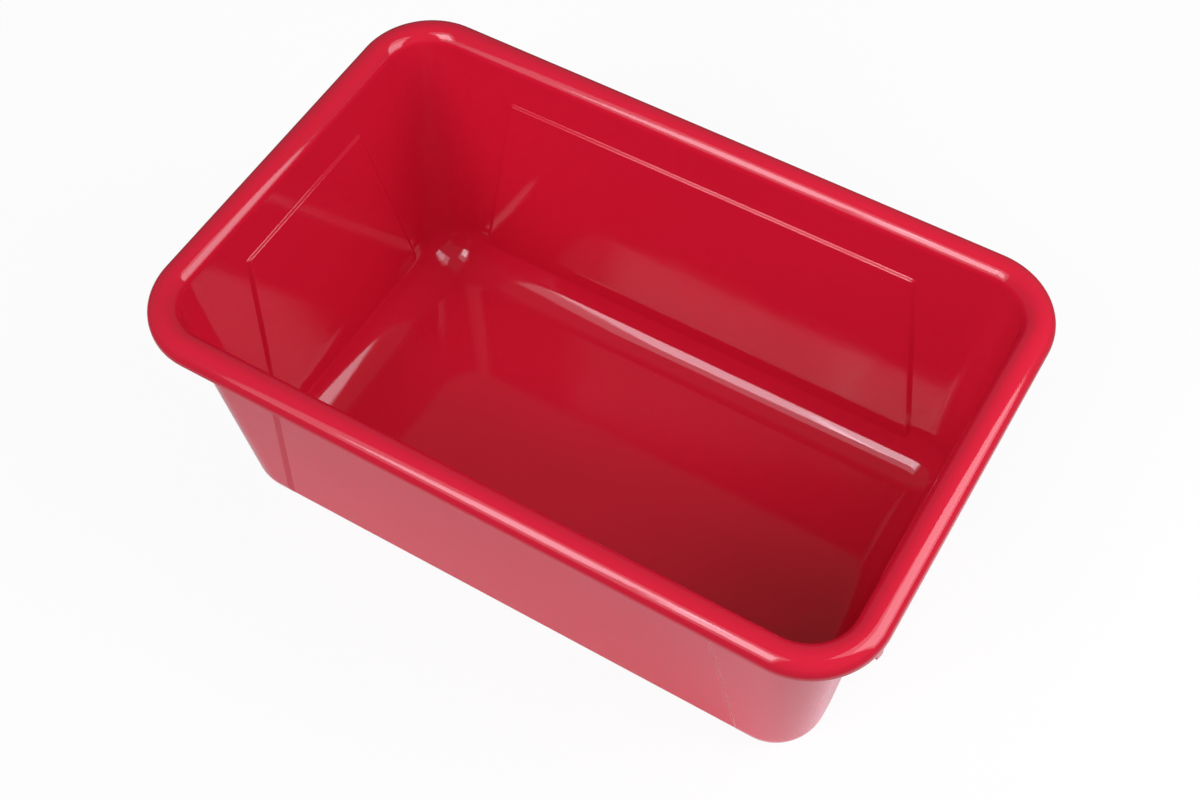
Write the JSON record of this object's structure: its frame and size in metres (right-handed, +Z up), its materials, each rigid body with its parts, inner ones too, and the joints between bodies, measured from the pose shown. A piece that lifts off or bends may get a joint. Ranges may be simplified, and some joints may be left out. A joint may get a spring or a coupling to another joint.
{
  "type": "storage tray",
  "caption": "Open rectangular storage tray in glossy red plastic, with drafted walls, stepped panels, rounded corners and a hollow rolled rim that gives a grip and lets trays nest.",
  "frame": {"origin": "middle of the base, on the plane the tray stands on", "axes": "+X along the length towards the right end, +Y towards the back wall, +Z up"},
  "size_m": [0.311, 0.2, 0.131],
  "materials": {
    "red_polypropylene": "glossy injection-moulded polypropylene, opaque red all through"
  },
  "bodies": {
    "root": {"floor": "red_polypropylene", "front_wall": "red_polypropylene", "back_wall": "red_polypropylene", "right_end_wall": "red_polypropylene", "left_end_wall": "red_polypropylene", "rolled_rim": "red_polypropylene", "nesting_lugs": "red_polypropylene"}
  },
  "joints": []
}
